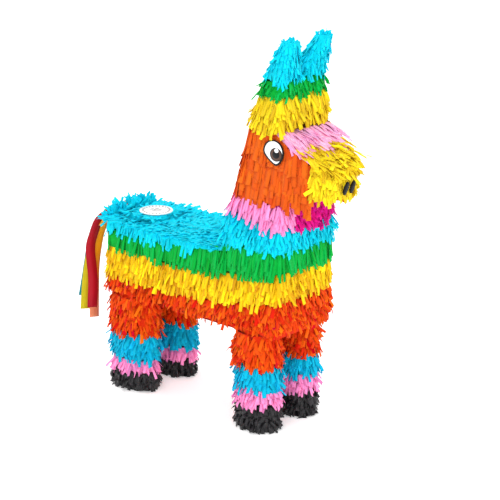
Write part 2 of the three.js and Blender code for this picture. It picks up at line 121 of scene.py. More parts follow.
def kraft_card(name, light, dark):
    material, shader = new_material(name, 0.85, Specular_IOR_Level=0.3)
    where = add_node(material, "TexCoord").outputs["Object"]
    fibre = add_node(
        material, "TexNoise", {"Vector": where, "Scale": 420, "Detail": 4, "Roughness": 0.7}
    )
    stain = add_node(material, "TexNoise", {"Vector": where, "Scale": 22, "Detail": 2})
    blend = add_node(
        material, "Math", {0: fibre.outputs["Fac"], 1: stain.outputs["Fac"]}, operation="MULTIPLY"
    )
    tint = add_node(
        material, "Mix", {0: blend.outputs[0], 6: linear(dark), 7: linear(light)}, data_type="RGBA"
    )
    flute = add_node(
        material,
        "TexWave",
        {"Vector": where, "Scale": WAVES_PER_UNIT / (FLUTE_SPACING * MM), "Distortion": 0.3},
        bands_direction="Y",
    )
    low = add_node(
        material, "Bump", {"Height": flute.outputs["Fac"], "Strength": 0.15, "Distance": 0.0006}
    )
    high = add_node(
        material,
        "Bump",
        {"Height": fibre.outputs["Fac"], "Strength": 0.3, "Distance": 0.0003, "Normal": low.outputs[0]},
    )
    connect(material, shader, Base_Color=tint.outputs[2], Normal=high.outputs[0])
    return material


CARD = kraft_card("kraft_corrugated_card", "#cfa574", "#8f683f")
TUBE_CARD = kraft_card("rolled_grey_card", "#b3a085", "#7d6c55")
for name, cad_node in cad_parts.items():
    if name.endswith("_panel") or name.startswith(("side_panel", "fill_flap", "ear_cone")):
        cad_node.material_slots[0].material = CARD
    elif name.startswith(("leg_tube", "sole_disc")):
        cad_node.material_slots[0].material = TUBE_CARD

# ---------- crepe paper fringe: the skin that it is glued to ----------
# Long strips of crepe paper, cut most of the way across into narrow fingers, are glued on in rows
# from the bottom up, so that each row hides the glued edge of the row below. A row follows a line
# of equal height over a colour band's lower edge, taken on the outside of the frame's fringe nodes.

LONGEST_SIDE = 12  # of a triangle of the skin
CORNER_SOFTNESS = 13  # the paper turns a folded edge of the card this gently
WALL_OR_ROOF = 0.7  # an outward normal steeper than this is a roof
CLOSE_IN_FRONT = 3  # a face with another this near in front of it is a joint, not skin
MOST_CROSSINGS = 20  # a ray stops looking for more faces after this many
NOSE_HEIGHT = 40  # from the jaw to where the slope of the brow begins
BROW_OVER_CROWN_FOOT = 4
PAPER_UNDER_BELLY = 8.3
EDGE_MARGIN = 0.5


def corners(name):
    """The lowest and the highest corner of a frame node."""
    low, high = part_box(name)
    return np.array(low) / MM, np.array(high) / MM


def unit(v):
    return v / np.maximum(np.linalg.norm(v, axis=-1, keepdims=True), 1e-9)


def node_surface(name):
    """A frame node's vertices, triangles and triangle normals, with its doubled vertices merged."""
    bm = bmesh.new()
    bm.from_mesh(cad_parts[name].data)
    bmesh.ops.remove_doubles(bm, verts=bm.verts, dist=1e-6)
    bmesh.ops.triangulate(bm, faces=bm.faces)
    bm.normal_update()
    vertices = np.array([v.co for v in bm.verts]) / MM
    triangles = np.array([[v.index for v in f.verts] for f in bm.faces])
    normals = np.array([f.normal for f in bm.faces])
    bm.free()
    return vertices, triangles, normals


BACK = corners("saddle_fringe_turquoise")[1][2]
RUMP = corners("saddle_fringe_turquoise")[1][1]
NECK_FOOT = corners("saddle_fringe_turquoise")[0][1]
CHEST = corners("body_fringe_yellow")[0][1]
NOSE = corners("muzzle_fringe_yellow")[0][1]
MUZZLE_BACK = corners("muzzle_fringe_yellow")[1][1]
BROW_BACK = corners("brow_fringe_pink")[1][1]
JAW = corners("muzzle_fringe_yellow")[0][2]
NOSE_TOP = JAW + NOSE_HEIGHT
CROWN_FOOT = corners("crown_fringe_yellow")[0][2]
BROW = CROWN_FOOT + BROW_OVER_CROWN_FOOT
CROWN = corners("crown_fringe_green")[1][2]
EAR_TIP = corners("ear_fringe_right")[1][2]
BELLY = corners("belly_panel")[0][2] - PAPER_UNDER_BELLY
LEGS = ("front_right", "front_left", "rear_right", "rear_left")
LEG_MIDDLE = {leg: np.mean(corners("leg_tube_" + leg), axis=0)[:2] for leg in LEGS}
FRINGE_NODES = [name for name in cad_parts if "_fringe_" in name and not name.startswith("flap")]


def inner_line(points):
    """The point nearest to each given one on the middle line of its leg, trunk, neck, muzzle or ear."""
    runs = [
        ((0, -95, 200), (0, 120, 200)),  # trunk
        ((0, -105, 215), (0, -128, 395)),  # neck
        ((0, -130, 385), (0, -190, 370)),  # muzzle
        ((0, -130, 395), (0, -137, 470)),  # forehead and crown
        ((-24, -137, 505), (-33, -158, 548)),  # right ear
        ((24, -137, 505), (33, -158, 548)),  # left ear
    ]
    nearest, best = np.zeros_like(points), np.full(len(points), np.inf)
    under_jaw = points[:, 2] < JAW - EDGE_MARGIN
    for start, stop in np.array(runs, float):
        run = stop - start
        share = np.clip((points - start) @ run / (run @ run), 0, 1)
        at = start + share[:, None] * run
        gap = np.linalg.norm(points - at, axis=1)
        nearer = (gap < best) & ~(under_jaw & (start[2] > JAW))
        nearest[nearer], best[nearer] = at[nearer], gap[nearer]
    below = points[:, 2] < BELLY - EDGE_MARGIN
    middles = np.array(list(LEG_MIDDLE.values()))
    which = np.argmin(np.linalg.norm(points[:, None, :2] - middles[None], axis=2), axis=1)
    nearest[below, :2] = middles[which[below]]
    nearest[below, 2] = points[below, 2]
    return nearest


def cut_fine(triangles, normals):
    """The same surface in triangles with no side longer than LONGEST_SIDE, each long side halved."""
    while True:
        sides = np.linalg.norm(triangles - np.roll(triangles, -1, axis=1), axis=2)
        long = sides.max(axis=1) > LONGEST_SIDE
        if not long.any():
            return triangles, normals
        first = sides[long].argmax(axis=1)
        order = (first[:, None] + np.arange(3)) % 3
        a, b, c = np.moveaxis(np.take_along_axis(triangles[long], order[..., None], axis=1), 1, 0)
        middle = (a + b) / 2
        halves = [np.stack([a, middle, c], axis=1), np.stack([middle, b, c], axis=1)]
        triangles = np.concatenate([triangles[~long], *halves])
        normals = np.concatenate([normals[~long], normals[long], normals[long]])


def outer_skin():
    """Triangles that face away from the middle line, with nothing close in front of them."""
    surfaces = [node_surface(name) for name in FRINGE_NODES]
    coarse = np.concatenate([v[t] for v, t, _ in surfaces])
    indices = np.arange(coarse.size // 3).reshape(-1, 3)
    tree = BVHTree.FromPolygons(coarse.reshape(-1, 3).tolist(), indices.tolist())
    triangles, normals = cut_fine(coarse, np.concatenate([n for _, _, n in surfaces]))
    centres = triangles.mean(axis=1)
    away = np.einsum("ij,ij->i", centres - inner_line(centres), normals) > 0
    kept = []
    for i in np.flatnonzero(away):
        direction, start = Vector(normals[i]), Vector(centres[i])
        start += direction * 0.01
        crossings, first = 0, None
        while crossings < MOST_CROSSINGS:
            hit, _, _, far = tree.ray_cast(start, direction)
            if hit is None:
                break
            first = far if first is None else first
            crossings += 1
            start = hit + direction * 1e-3
        if crossings % 2 == 0 and (first is None or first > CLOSE_IN_FRONT):
            kept.append(i)
    return triangles[kept], normals[kept]


ALL_SKIN = outer_skin()
is_roof = ALL_SKIN[1][:, 2] > WALL_OR_ROOF
is_wall = np.abs(ALL_SKIN[1][:, 2]) <= WALL_OR_ROOF
WALLS = (ALL_SKIN[0][is_wall], ALL_SKIN[1][is_wall])
ROOFS = (ALL_SKIN[0][is_roof], ALL_SKIN[1][is_roof])
rng = np.random.default_rng(56)
GLUE_JITTER = 0.3  # share of the spacing that a glue point may stray by, either way
FACING_AWAY = -0.2  # normals whose product is under this belong to opposite sides of the card


def glue_line(skin, field, value, spacing):
    """Points along the line where field(points) is value on the skin, with outward normals.

    Each triangle that the line crosses gives a short piece of it. Points lie at a jittered spacing
    along the pieces, and each is averaged with its neighbours, which rounds the line at the card's
    folded edges.
    """
    triangles, normals = skin
    height = field(triangles.reshape(-1, 3)).reshape(-1, 3) - value
    crossing = (height.min(axis=1) < 0) & (height.max(axis=1) >= 0)
    triangles, normals, height = triangles[crossing], normals[crossing], height[crossing]
    if not len(triangles):
        return np.zeros((0, 3)), np.zeros((0, 3))
    next_height = np.roll(height, -1, axis=1)
    step = height - next_height
    crossed = (height < 0) != (next_height < 0)
    share = np.where(crossed, height / np.where(step == 0, 1, step), np.nan)
    cuts = triangles + share[..., None] * (np.roll(triangles, -1, axis=1) - triangles)
    order = np.argsort(np.isnan(share), axis=1, kind="stable")[:, :2]
    start, stop = (np.take_along_axis(cuts, order[:, i, None, None], axis=1)[:, 0] for i in (0, 1))
    length = np.linalg.norm(stop - start, axis=1)
    reach = np.cumsum(length)
    count = max(3, int(reach[-1] / spacing))
    place = (np.arange(count) + 0.5 + rng.uniform(-GLUE_JITTER, GLUE_JITTER, count)) / count * reach[-1]
    which = np.minimum(np.searchsorted(reach, place), len(length) - 1)
    part = (place - (reach - length)[which]) / np.maximum(length[which], 1e-9)
    p = start[which] + (stop - start)[which] * part[:, None]
    n = normals[which]
    apart = np.linalg.norm(p[:, None] - p[None], axis=2)
    weight = np.clip(1 - apart / CORNER_SOFTNESS, 0, 1) ** 2 * ((n @ n.T) > FACING_AWAY)
    return (weight @ p) / weight.sum(axis=1)[:, None], unit(weight @ n)


# ---------- crepe paper fringe: one finger, one row and one covering ----------
# Crepe paper is thin, matt and finely creased. Each finger curls and leans on its own, and its
# shade differs a little from its neighbours', because it turns to the light and its dye varies.

PAPER = 0.35
FINGER_STATIONS = 5
CREASE_SPACING = 1.1
GLUE_DEPTH = 2.2  # a finger starts this far inside the skin
LENGTH_LIMITS = (0.5, 1.45)  # the shortest and longest finger, as shares of the usual length
WIDTH_SPREAD = 0.18
WIDTH_LIMITS = (0.55, 1.5)
UNRULY_SHARE = 0.04
UNRULY_LIFT = (5, 28)
TAME_LIFT = 12  # rows that lie flatter than this have calmer unruly fingers
SHAGGY_LIFT = 20  # rows that stand off this much have none
MOTTLE = 0.35
DOWN = np.array([0.0, 0.0, -1.0])


def crepe(name, code, roughness=0.72, specular=0.08, hue_shift=0.05):
    material, shader = new_material(
        name, roughness, Specular_IOR_Level=specular, Sheen_Weight=0.02, Sheen_Roughness=0.5
    )
    shade = add_node(material, "Attribute", attribute_name="shade").outputs["Fac"]
    where = add_node(material, "TexCoord").outputs["Object"]
    cloud = add_node(material, "TexNoise", {"Vector": where, "Scale": 60, "Detail": 3}).outputs["Fac"]
    mottle = add_node(
        material, "Math", {0: cloud, 1: MOTTLE, 2: -MOTTLE / 2}, operation="MULTIPLY_ADD"
    ).outputs[0]
    both = add_node(material, "Math", {0: shade, 1: mottle}, operation="ADD").outputs[0]
    value = add_node(material, "Math", {0: both, 1: 1.0}, operation="ADD").outputs[0]
    hue = add_node(
        material, "Math", {0: shade, 1: hue_shift, 2: 0.5}, operation="MULTIPLY_ADD"
    ).outputs[0]
    paint = add_node(material, "HueSaturation", {"Hue": hue, "Value": value, "Color": linear(code)})
    crease = add_node(
        material, "TexNoise", {"Vector": where, "Scale": 1 / (CREASE_SPACING * MM), "Detail": 2}
    )
    bump = add_node(
        material, "Bump", {"Height": crease.outputs["Fac"], "Strength": 0.35, "Distance": 0.0005}
    )
    connect(material, shader, Base_Color=paint.outputs["Color"], Normal=bump.outputs[0])
    return material


def fingers(
    p,
    n,
    d,
    length,
    width,
    lift,
    curl,
    ragged=0.12,
    lean=5,
    twist=12,
    crumple=0,
    depth=GLUE_DEPTH,
    shade=0.09,
):
    """Closed paper fingers from points p with outward normals n, cut along directions d.

    A finger's middle line leaves the skin at the angle lift and turns by curl along its length, with
    kinks of about crumple. Its section is a flat rectangle that twists about that line. A few unruly
    fingers stand off more. All angles are in degrees.
    """
    count = len(p)
    spread = lambda scale: rng.normal(0, 1, count) * scale
    d = unit(d - np.einsum("ij,ij->i", d, n)[:, None] * n)
    t = np.cross(n, d)
    yaw = np.radians(spread(lean))[:, None]
    d, t = d * np.cos(yaw) + t * np.sin(yaw), t * np.cos(yaw) - d * np.sin(yaw)
    long = length * np.clip(1 + spread(ragged), *LENGTH_LIMITS)
    wide = width * np.clip(1 + spread(WIDTH_SPREAD), *WIDTH_LIMITS)
    unruly = (rng.random(count) < UNRULY_SHARE) * rng.uniform(*UNRULY_LIFT, count)
    unruly = unruly * (min(1, lift / TAME_LIFT) if lift < SHAGGY_LIFT else 0)
    start = np.radians(lift + spread(abs(lift) * 0.3 + 1) + unruly)
    bend = np.radians(curl + spread(abs(curl) * 0.6 + 6))
    turn = np.radians(spread(twist))
    share = np.linspace(0, 1, FINGER_STATIONS)
    angle = start[:, None] + bend[:, None] * share[None]
    angle = angle + np.radians(crumple) * rng.normal(0, 1, angle.shape) * (share > 0)
    along = d[:, None] * np.cos(angle)[..., None] + n[:, None] * np.sin(angle)[..., None]
    outward = n[:, None] * np.cos(angle)[..., None] - d[:, None] * np.sin(angle)[..., None]
    steps = long[:, None, None] / (FINGER_STATIONS - 1) * (along[:, :-1] + along[:, 1:]) / 2
    from_root = np.concatenate([np.zeros((count, 1, 3)), np.cumsum(steps, axis=1)], axis=1)
    middle = (p - n * depth)[:, None] + from_root
    roll = (turn[:, None] * share[None])[..., None]
    across = t[:, None] * np.cos(roll) + outward * np.sin(roll)
    face = outward * np.cos(roll) - t[:, None] * np.sin(roll)
    half = across * (wide / 2)[:, None, None]
    slant = along * (rng.uniform(-1.5, 1.5, count)[:, None] * (share == 1))[..., None]
    thick = face * PAPER / 2
    ring = [
        middle - half - slant - thick,
        middle + half + slant - thick,
        middle + half + slant + thick,
        middle - half - slant + thick,
    ]
    vertices = np.stack(ring, axis=2).reshape(-1, 3)
    base = np.arange(count)[:, None] * FINGER_STATIONS * 4
    tip = base + (FINGER_STATIONS - 1) * 4
    quads = [base + np.array([[3, 2, 1, 0]]), tip + np.array([[0, 1, 2, 3]])]
    for station in range(FINGER_STATIONS - 1):
        for i in range(4):
            j = (i + 1) % 4
            quads.append(base + station * 4 + np.array([[i, j, 4 + j, 4 + i]]))
    return vertices, np.concatenate(quads), np.repeat(spread(shade), FINGER_STATIONS * 4)


# How each kind of row is cut and how it lies.
NEAT = dict(length=30, width=4.6, lift=8, curl=-7, ragged=0.07, lean=2, twist=6, shade=0.05)
LOOSE = dict(
    length=19, width=4.8, lift=15, curl=-12, ragged=0.22, lean=6, twist=16, crumple=5, shade=0.12
)
CURLY = dict(length=14, width=4.6, lift=22, curl=-12, ragged=0.25, lean=16, twist=34, crumple=14)
SHORT = dict(length=15, width=4.2, lift=20, curl=-14, ragged=0.25, lean=16, twist=28, crumple=10)

FIRST_ROW = 0.88  # height of the first glue line over its edge, as a share of the finger's length
ROW_WANDER = 1.1  # a glue point strays up or down by about this much


def rows(skin, edge, keep, style, first=None, last=60, pitch=6, spacing=3.2):
    """Rows of fingers that end on the line z = edge(points) and above it, pitch by pitch.

    The first row is glued its own length above the edge. keep says which glue points stay.
    """
    field = lambda points: points[:, 2] - edge(points)
    made = []
    value = style["length"] * FIRST_ROW if first is None else first
    while value < last:
        p, n = glue_line(skin, field, value, spacing)
        chosen = keep(p, n) if len(p) else np.zeros(0, bool)
        if chosen.any():
            p, n = p[chosen], n[chosen]
            p = p + DOWN * rng.normal(0, ROW_WANDER, len(p))[:, None]
            made.append(fingers(p, n, np.tile(DOWN, (len(p), 1)), **style))
        value += pitch
    return made


def level(z):
    return lambda points: np.full(len(points), float(z))


def along_donkey(ys, zs):
    """A band edge whose height changes along the donkey: straight between the places given."""
    return lambda points: np.interp(points[:, 1], ys, zs)


def mesh_piece(name, vertices, faces, materials, shade=None, material_of_face=None):
    """One mesh object at the origin. faces is a list of index arrays with three or four columns."""
    mesh = bpy.data.meshes.new(name)
    mesh.vertices.add(len(vertices))
    mesh.vertices.foreach_set("co", (vertices * MM).astype(np.float32).ravel())
    loops = np.concatenate([f.ravel() for f in faces])
    sizes = np.concatenate([np.full(len(f), f.shape[1]) for f in faces])
    mesh.loops.add(len(loops))
    mesh.loops.foreach_set("vertex_index", loops.astype(np.int32))
    mesh.polygons.add(len(sizes))
    mesh.polygons.foreach_set("loop_start", (np.cumsum(sizes) - sizes).astype(np.int32))
    if material_of_face is not None:
        mesh.polygons.foreach_set("material_index", material_of_face.astype(np.int32))
    mesh.update(calc_edges=True)
    if shade is not None:
        shades = mesh.attributes.new("shade", "FLOAT", "POINT")
        shades.data.foreach_set("value", shade.astype(np.float32))
    for material in materials:
        mesh.materials.append(material)
    made = bpy.data.objects.new(name, mesh)
    scene.collection.objects.link(made)
    return made


def merged(parts):
    """Several (vertices, faces, shades) as one."""
    offsets = np.cumsum([0] + [len(v) for v, _, _ in parts[:-1]])
    faces = np.concatenate([f + o for (_, f, _), o in zip(parts, offsets)])
    return np.concatenate([v for v, _, _ in parts]), faces, np.concatenate([s for _, _, s in parts])


CORE_SHADE = -0.1  # the paper under the fingers is in their shadow
LOWEST = 0.4  # no finger goes nearer to the floor than this


def covering(node_name, parts, material, body="shell", slimmer=2.2):
    """One covering: the node's own form made a little slimmer, with all its fingers glued on."""
    vertices, triangles, normals = node_surface(node_name)
    at_vertex = np.zeros_like(vertices)
    for i in range(3):
        np.add.at(at_vertex, triangles[:, i], normals)
    core = vertices - unit(at_vertex) * slimmer
    v, f, shade = merged(parts)
    everything = np.concatenate([core, v])
    everything[:, 2] = np.maximum(everything[:, 2], LOWEST)
    made = mesh_piece(
        node_name + "_paper",
        everything,
        [triangles, f + len(core)],
        [material],
        np.concatenate([np.full(len(core), CORE_SHADE), shade]),
    )
    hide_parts(node_name)
    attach(made, body)
    return made


# ---------- legs: black hooves, pink ankles, blue shins ----------
# Each card tube wears three sleeves. The hoof's short black fingers spread where they meet the
# floor, and the sleeves above are shaggy, because the narrow tube lets their fingers stand off.

BLACK = crepe("black_crepe", "#1c1b1e", 0.3, 0.35)
PINK = crepe("pink_crepe", "#ff94cf")
BLUE = crepe("blue_crepe", "#04b9df")
ORANGE = crepe("orange_crepe", "#e64a08", hue_shift=0.08)

HOOF = dict(
    length=13, width=5.8, lift=17, curl=-10, ragged=0.2, lean=18, twist=36, crumple=20, shade=0.4
)
ANKLE = dict(
    length=15, width=4.0, lift=24, curl=-14, ragged=0.2, lean=14, twist=30, crumple=10, shade=0.15
)
SHIN = dict(length=17, width=4.4, lift=22, curl=-16, ragged=0.22, lean=14, twist=28, crumple=10)


LEG_REACH = 50  # glue points this near to a leg's middle belong to it
LEG_FLATNESS = [1.3, 1]  # distances across the donkey count for more


def one_leg(leg, low, high):
    """Glue points on one leg, from just under low up to high."""
    middle = LEG_MIDDLE[leg]

    def keep(p, n):
        near = np.linalg.norm((p[:, :2] - middle) * LEG_FLATNESS, axis=1) < LEG_REACH
        return near & (p[:, 2] > low - 2) & (p[:, 2] < high)

    return keep


for leg in LEGS:
    hoof_top, ankle_top, shin_top = (
        corners(part + leg)[1][2] for part in ("hoof_fringe_", "ankle_fringe_", "shin_fringe_")
    )
    sleeves = [
        ("hoof_fringe_", HOOF, 1, hoof_top, BLACK, "black_crepe"),
        ("ankle_fringe_", ANKLE, hoof_top - 4, ankle_top, PINK, "pink_crepe"),
        ("shin_fringe_", SHIN, ankle_top - 3, shin_top, BLUE, "blue_crepe"),
    ]
    for part, style, low, high, paper, slot in sleeves:
        on_leg = one_leg(leg, low, high + 3)
        sleeve = rows(WALLS, level(low), on_leg, style, last=high - low + 4, pitch=5.5)
        covering(part + leg, sleeve, paper)

# ---------- torso: orange, yellow and green ----------
# The orange goes on first, round the thighs and the belly, then the yellow, then the green. The
# bands run level along the trunk and climb towards the chest. The green's fingers are the longest
# and lie flat; the orange is the most crumpled.

YELLOW = crepe("yellow_crepe", "#f2c612", hue_shift=0.12)
GREEN = crepe("green_crepe", "#00ad40")

ORANGE_TOP = along_donkey([CHEST, -145, -81, 12, RUMP], [196, 190, 177, 170, 166])
YELLOW_TOP = along_donkey([CHEST, -145, -81, -20, 60, RUMP], [236, 229, 219, 212, 211, 214])
GREEN_TOP = along_donkey([CHEST, -100, -26, -5, 60, RUMP], [267, 266, 261, 242, 240, 238])


BAND_OVERLAP = 4  # a band's last row is glued up to this far over the next band's edge
TRUNK_FOOT = BELLY + 2


def trunk(low, high):
    """Glue points on the trunk, from one band edge to a little over the next."""
    return lambda p, n: (
        (p[:, 2] > low(p)) & (p[:, 2] < high(p) + BAND_OVERLAP) & (p[:, 2] > TRUNK_FOOT)
    )


on_belly = trunk(level(BELLY), ORANGE_TOP)
orange_rows = rows(WALLS, level(TRUNK_FOOT), on_belly, CURLY, pitch=5.5)
for leg in LEGS:
    shin_top = corners("shin_fringe_" + leg)[1][2]
    thigh = one_leg(leg, shin_top, BELLY - 1)
    orange_rows += rows(WALLS, level(shin_top - 5), thigh, CURLY | {"length": 17}, pitch=5.5)
covering("body_fringe_orange", orange_rows, ORANGE)
yellow_rows = rows(WALLS, ORANGE_TOP, trunk(ORANGE_TOP, YELLOW_TOP), LOOSE, last=64)
covering("body_fringe_yellow", yellow_rows, YELLOW)
green_rows = rows(WALLS, YELLOW_TOP, trunk(YELLOW_TOP, GREEN_TOP), NEAT, last=64, pitch=7)
covering("body_fringe_green", green_rows, GREEN)

# ---------- saddle ----------
# Short turquoise fingers run out from the middle of the back to both sides and over the edge,
# crumpled in every direction. They pile up a little at the rump.

TURQUOISE = crepe("turquoise_crepe", "#00d6ee")

TOP = dict(
    length=13, width=4.8, lift=7, curl=-13, ragged=0.3, lean=40, twist=18, crumple=10, shade=0.07
)
EDGE = dict(length=18, width=4.4, lift=12, curl=-10, ragged=0.18, lean=9, twist=18, crumple=6)
TUFT = dict(width=4.0, lift=8, curl=30, ragged=0.25, lean=25, twist=40, crumple=16, depth=0)
TUFT_COUNT, TUFT_LENGTH = 190, 17
TUFT_MIDDLE, TUFT_REACH = 4, 58  # the tuft is tallest here, and falls off this far to either side
LINE_WANDER, ALONG_WANDER = 1.2, 1.4
flap_low, flap_high = corners("flap_fringe_turquoise")


def roof_rows(z, x_values, y_low, y_high, keep, style, spacing=4.0):
    """Rows along the donkey on a level roof, with fingers that point out to their own side."""
    made = []
    for x in x_values:
        count = int((y_high - y_low) / spacing)
        y = np.linspace(y_low, y_high, count) + rng.uniform(-ALONG_WANDER, ALONG_WANDER, count)
        across = np.full(count, float(x)) + rng.normal(0, LINE_WANDER, count)
        p = np.stack([across, y, np.full(count, float(z))], axis=1)
        p = p[keep(p)]
        if len(p):
            outwards = np.tile([float(np.sign(x)), 0.0, 0.0], (len(p), 1))
            made.append(fingers(p, np.tile(-DOWN, (len(p), 1)), outwards, **style))
    return made


def off_flap(p):
    """True where a finger's root is clear of the flap, which has to open."""
    beside = np.abs(p[:, 0]) >= flap_high[0] - 3
    in_front, behind = p[:, 1] <= flap_low[1] - 4, p[:, 1] >= flap_high[1] + 5.5
    return beside | in_front | behind


saddle_sides = lambda p, n: (p[:, 1] > NECK_FOOT - 4) & (p[:, 2] < BACK)
saddle_rows = rows(WALLS, GREEN_TOP, saddle_sides, EDGE, first=11, last=18, pitch=4.5)
side_lines = [s * x for x in np.arange(1.5, 56, 5.4) for s in (-1, 1)]
saddle_rows += roof_rows(BACK, side_lines, NECK_FOOT - 4, RUMP - 3, off_flap, TOP, spacing=3.2)
tuft_x = rng.uniform(-54, 54, TUFT_COUNT)
tuft_y = RUMP - rng.uniform(0.5, 4.5, TUFT_COUNT)
tuft = np.stack([tuft_x, tuft_y, np.full(TUFT_COUNT, BACK - 2.0)], axis=1)
out_x, out_y = rng.normal(0, 0.5, TUFT_COUNT), rng.uniform(0.1, 1, TUFT_COUNT)
tuft_out = unit(np.stack([out_x, out_y, np.zeros(TUFT_COUNT)], axis=1))
up_x, up_y = rng.normal(0, 0.4, TUFT_COUNT), rng.normal(0.15, 0.22, TUFT_COUNT)
tuft_up = np.stack([up_x, up_y, np.ones(TUFT_COUNT)], axis=1)
tall = 1.05 - 0.6 * np.abs((tuft_x - TUFT_MIDDLE) / TUFT_REACH) ** 2
saddle_rows.append(fingers(tuft, tuft_out, tuft_up, length=TUFT_LENGTH * tall, **TUFT))
covering("saddle_fringe_turquoise", saddle_rows, TURQUOISE)

# ---------- neck, collar and throat ----------
# Turquoise rows climb from the chest, then come pink rows deep in folds and, at the throat under
# the jaw, a darker magenta.

MAGENTA = crepe("magenta_crepe", "#e0148e")

COLLAR_BOTTOM = along_donkey([CHEST, -60], [296, 314])
COLLAR_TOP = 340
THROAT_BOTTOM = level(290)
THROAT_SIDE = -30  # the magenta starts this far round on the right
UNDER_JAW_WIDTH = 20  # the paper that faces down is magenta this far from the middle
COLLAR = dict(length=23, width=4.6, lift=16, curl=-10, ragged=0.12, lean=6, twist=14, crumple=5)
THROAT_FOLD = dict(
    length=16, width=4.4, lift=26, curl=-8, ragged=0.25, lean=20, twist=35, crumple=14
)

neck = lambda p, n: (p[:, 1] < NECK_FOOT) & (p[:, 2] < COLLAR_BOTTOM(p) + 6) & (p[:, 2] < JAW - 3)
neck_rows = rows(WALLS, GREEN_TOP, neck, SHORT | {"length": 18}, last=90)
covering("neck_fringe_turquoise", neck_rows, TURQUOISE)

at_throat = lambda p: (p[:, 1] < CHEST - 3) & (p[:, 0] > THROAT_SIDE)
collar = lambda p, n: (p[:, 2] < COLLAR_TOP) & ~at_throat(p)
collar_rows = rows(WALLS, COLLAR_BOTTOM, collar, COLLAR, last=45)
covering("collar_fringe_pink", collar_rows, PINK)


def throat(p, n):
    """Glue points at the throat. Those that face down stay near the middle, under the jaw."""
    upright = n[:, 2] > -WALL_OR_ROOF
    near_middle = np.abs(p[:, 0]) < UNDER_JAW_WIDTH
    return (p[:, 2] < JAW - 1) & at_throat(p) & (upright | near_middle)


throat_rows = rows(WALLS, THROAT_BOTTOM, throat, THROAT_FOLD)
covering("throat_fringe_magenta", throat_rows, MAGENTA)

# ---------- head ----------
# Long, broad orange fingers lie flat on the cheeks, so that the printed eye has a smooth bed.

HEAD_ORANGE = crepe("head_orange_crepe", "#dc5b14", hue_shift=0.06)

HEAD_BOTTOM = level(333)
CHEEK_TOP = 437
CHEEK = dict(
    length=30, width=7, lift=3.5, curl=-3, ragged=0.14, lean=1.6, twist=3, crumple=1, shade=0.05
)
BEHIND_EYE = CHEEK | dict(length=16, lift=0.5, curl=0, crumple=0, twist=1, ragged=0.05)
brow_height = lambda p: np.interp(p[:, 1], [NOSE, BROW_BACK - 2], [NOSE_TOP, BROW])
eye_low, eye_high = corners("eye_right")
eye_y, eye_z = (eye_low + eye_high)[1:] / 2


def on_cheek(p):
    """Glue points behind the muzzle, under the crown and under the slope of the brow."""
    return (p[:, 1] > MUZZLE_BACK + 1) & (p[:, 2] < CHEEK_TOP) & (p[:, 2] < brow_height(p) - 1)


def over_eye(p):
    """True where a long finger would hang over an eye."""
    across = np.abs(p[:, 1] - eye_y) < (eye_high - eye_low)[1] / 2 + 2
    return across & (p[:, 2] > eye_z - 12) & (p[:, 2] < eye_high[2] + 26)


open_cheek = lambda p, n: on_cheek(p) & ~over_eye(p)
eye_bed = lambda p, n: on_cheek(p) & over_eye(p)
cheek_rows = rows(WALLS, HEAD_BOTTOM, open_cheek, CHEEK, last=110, pitch=9, spacing=3.6)
cheek_rows += rows(WALLS, HEAD_BOTTOM, eye_bed, BEHIND_EYE, first=30, last=110)
covering("head_fringe_orange", cheek_rows, HEAD_ORANGE)

# ---------- muzzle ----------
# Yellow fingers hang round the nose and lie forwards down its top. Some long ones stand out.

LEMON = crepe("lemon_crepe", "#eed01e", hue_shift=0.08)

MUZZLE = dict(
    length=14,
    width=4.8,
    lift=13,
    curl=-14,
    ragged=0.25,
    lean=18,
    twist=28,
    crumple=10,
    depth=-1,
    shade=0.13,
)
BEHIND_NOSTRIL = MUZZLE | dict(lift=2, curl=0, crumple=2, twist=4, lean=6)
NOSE_RIDGE = dict(
    length=21, width=4.8, lift=9, curl=-20, ragged=0.3, lean=22, twist=28, crumple=10, shade=0.13
)
STRAY = dict(
    length=27, width=3.0, lift=26, curl=-34, ragged=0.3, lean=24, twist=60, crumple=12, shade=0.05
)
FORWARDS = np.array([0.0, -1.0, -0.6])
SLOPE_PITCH = 5
NOSE_FOOT = level(JAW - 3)


def on_brow(p):
    return (p[:, 2] > NOSE_TOP - 4) & (p[:, 2] < BROW + 8)


def slope_rows(y_values, style, spacing):
    """Rows across the slope of the brow at the given distances behind the nose."""
    made = []
    for y in y_values:
        p, n = glue_line(ROOFS, lambda points: points[:, 1], NOSE + y, spacing)
        chosen = on_brow(p) if len(p) else np.zeros(0, bool)
        if chosen.any():
            forwards = np.tile(FORWARDS, (int(chosen.sum()), 1))
            made.append(fingers(p[chosen], n[chosen], forwards, **style))
    return made


def on_muzzle(p):
    return (p[:, 1] < MUZZLE_BACK + 3) & (p[:, 2] < brow_height(p) + 2) & (p[:, 2] > JAW)


nostril_z = np.mean(corners("nostril_right"), axis=0)[2]


def over_nostrils(p):
    """True where a finger would hang over the nostrils."""
    on_nose = (p[:, 1] < NOSE + 5) & (np.abs(p[:, 0]) < 17)
    return on_nose & (p[:, 2] > nostril_z - 10) & (p[:, 2] < nostril_z + 26)


open_muzzle = lambda p, n: on_muzzle(p) & ~over_nostrils(p)
nostril_bed = lambda p, n: on_muzzle(p) & over_nostrils(p)
muzzle_rows = rows(WALLS, NOSE_FOOT, open_muzzle, MUZZLE, pitch=5, spacing=3.0)
muzzle_rows += rows(WALLS, NOSE_FOOT, nostril_bed, BEHIND_NOSTRIL, pitch=5, spacing=3.0)
muzzle_rows += slope_rows(range(2, 48, SLOPE_PITCH), NOSE_RIDGE, spacing=3.4)
muzzle_rows += slope_rows((9, 24), STRAY, spacing=10)
covering("muzzle_fringe_yellow", muzzle_rows, LEMON)

# ---------- brow ----------
# Long thin pink fingers lie down the slope from the forehead towards the nose.

PALE_PINK = crepe("pale_pink_crepe", "#ffb4dc", hue_shift=0.15)

